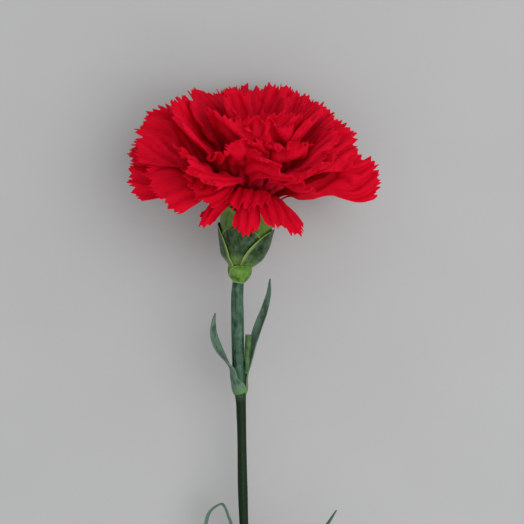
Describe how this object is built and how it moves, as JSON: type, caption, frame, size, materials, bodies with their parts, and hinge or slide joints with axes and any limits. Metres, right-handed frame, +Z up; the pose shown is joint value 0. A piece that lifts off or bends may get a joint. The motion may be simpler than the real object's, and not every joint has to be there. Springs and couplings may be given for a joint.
{
  "type": "cut carnation",
  "caption": "Cut double carnation lying on its side: ruffled red petals in a green calyx with bracts, on a jointed leafy stem.",
  "frame": {"origin": "under the middle of the flower's bounding box, on the surface that it lies on", "axes": "+Y along the stem towards the flower head, +Z up from the surface, +X to the right seen from above with the head at the top"},
  "size_m": [0.0852, 0.331, 0.0647],
  "materials": {
    "petal": "velvety deep red petal, toothed and ruffled",
    "calyx": "smooth yellow-green, satin",
    "bract": "waxy green with pale margins",
    "stem": "waxy blue-green bloom over smooth green",
    "leaf": "waxy blue-green",
    "pistil": "pale green-white, moist"
  },
  "bodies": {
    "root": {"stem": "stem", "side_shoot_stub": "stem", "upper_leaf_left": "leaf", "upper_leaf_right": "leaf", "middle_leaf_left": "leaf", "middle_leaf_right": "leaf", "lower_leaf_left": "leaf", "lower_leaf_right": "leaf", "calyx": "calyx", "bract_1": "bract", "bract_2": "bract", "bract_3": "bract", "bract_4": "bract", "basal_bract_1": "bract", "basal_bract_2": "bract", "ovary": "pistil", "style_left": "pistil", "style_right": "pistil", "petal_01": "petal", "petal_02": "petal", "petal_03": "petal", "petal_04": "petal", "petal_05": "petal", "petal_06": "petal", "petal_07": "petal", "petal_08": "petal", "petal_09": "petal", "petal_10": "petal", "petal_11": "petal", "petal_12": "petal", "petal_13": "petal", "petal_14": "petal", "petal_15": "petal", "petal_16": "petal", "petal_17": "petal", "petal_18": "petal", "petal_19": "petal", "petal_20": "petal", "petal_21": "petal", "petal_22": "petal", "petal_23": "petal", "petal_24": "petal", "petal_25": "petal", "petal_26": "petal", "petal_27": "petal", "petal_28": "petal", "petal_29": "petal", "petal_30": "petal", "petal_31": "petal", "petal_32": "petal", "petal_33": "petal", "petal_34": "petal", "petal_35": "petal", "petal_36": "petal", "petal_37": "petal", "petal_38": "petal", "petal_39": "petal", "petal_40": "petal"}
  },
  "joints": []
}
